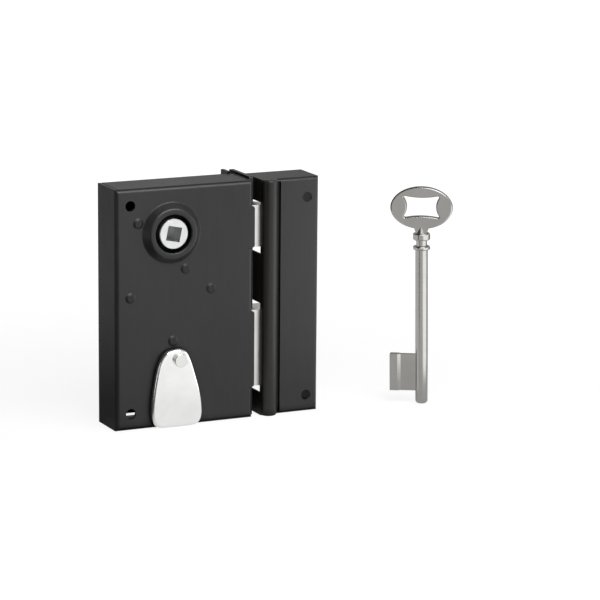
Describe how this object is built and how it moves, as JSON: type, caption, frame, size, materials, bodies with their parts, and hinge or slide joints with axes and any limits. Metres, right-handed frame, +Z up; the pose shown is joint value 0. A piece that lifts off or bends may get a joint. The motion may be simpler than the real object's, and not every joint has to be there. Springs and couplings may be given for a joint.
{
  "type": "rim box lock",
  "caption": "Surface-mounted box lock with a sprung latch, a key-driven dead bolt, a square-spindle follower, a swinging keyhole cover, its keep and a key.",
  "frame": {"origin": "centre of the case's back face, which lies on the door leaf", "axes": "+X the way the bolts shoot, -Y out of the door towards the viewer, +Z up; in millimetres from the case's left, front and bottom, x is less 35, y less 22 and z less 57.5"},
  "size_m": [0.1693, 0.0452, 0.116],
  "materials": {
    "black_paint": "satin",
    "bright_bolt": "satin",
    "zinc_steel": "satin",
    "plain_steel": "satin",
    "nickel_plate": "satin",
    "spring_steel": "satin"
  },
  "bodies": {
    "case": {"case_shell": "black_paint", "back_plate": "black_paint", "back_screws": "zinc_steel", "forend": "black_paint", "forend_rivets": "black_paint", "follower_bush": "black_paint", "tail_post": "plain_steel", "spring_post": "plain_steel", "lever_spring_post": "plain_steel", "lever_post": "plain_steel", "guide_post": "plain_steel", "latch_spring": "spring_steel", "lever_spring": "spring_steel", "cover_rivet": "nickel_plate", "cover_washer": "plain_steel"},
    "latch": {"latch_head": "bright_bolt", "latch_tail": "plain_steel", "latch_rivets": "plain_steel", "drive_pin": "plain_steel"},
    "follower": {"follower": "zinc_steel"},
    "deadbolt": {"deadbolt_head": "bright_bolt", "deadbolt_tail": "plain_steel", "deadbolt_rivets": "plain_steel", "bolt_stump": "plain_steel"},
    "lever": {"lever": "plain_steel"},
    "cover": {"key_cover": "nickel_plate"},
    "keep": {"keep_strike": "black_paint", "keep_cover": "black_paint"},
    "key": {"key": "nickel_plate"}
  },
  "joints": [
    {"name": "latch_slide", "type": "slide", "parent": "case", "child": "latch", "axis": [1, 0, 0], "range_m": [-0.0105, 0], "stiffness_N_per_m": 400, "springref_m": 0.01, "deforming": ["latch_spring"]},
    {"name": "follower_turn", "type": "hinge", "parent": "case", "child": "follower", "pos_m": [-0.007, -0.01, 0.0355], "axis": [0, -1, 0], "range_deg": [0, 42]},
    {"name": "deadbolt_slide", "type": "slide", "parent": "case", "child": "deadbolt", "axis": [1, 0, 0], "range_m": [-0.012, 0]},
    {"name": "lever_lift", "type": "hinge", "parent": "case", "child": "lever", "pos_m": [-0.0277, -0.0086, 0.006], "axis": [0, -1, 0], "range_deg": [0, 5.1], "deforming": ["lever_spring"]},
    {"name": "cover_swing", "type": "hinge", "parent": "case", "child": "cover", "pos_m": [-0.0041, -0.024, -0.0249], "axis": [0, -1, 0], "continuous": true},
    {"name": "keep_away", "type": "slide", "parent": "case", "child": "keep", "axis": [1, 0, 0], "range_m": [0, 0.03]},
    {"name": "key_lift", "type": "slide", "parent": "case", "child": "key", "axis": [0, 0, 1], "range_m": [0, 0.03]}
  ],
  "couplings": [
    {"joint": "follower_turn", "follows": "latch_slide", "rad_per_m": -69.8},
    {"joint": "lever_lift", "follows": "deadbolt_slide", "rad_per_m": -7.41}
  ]
}
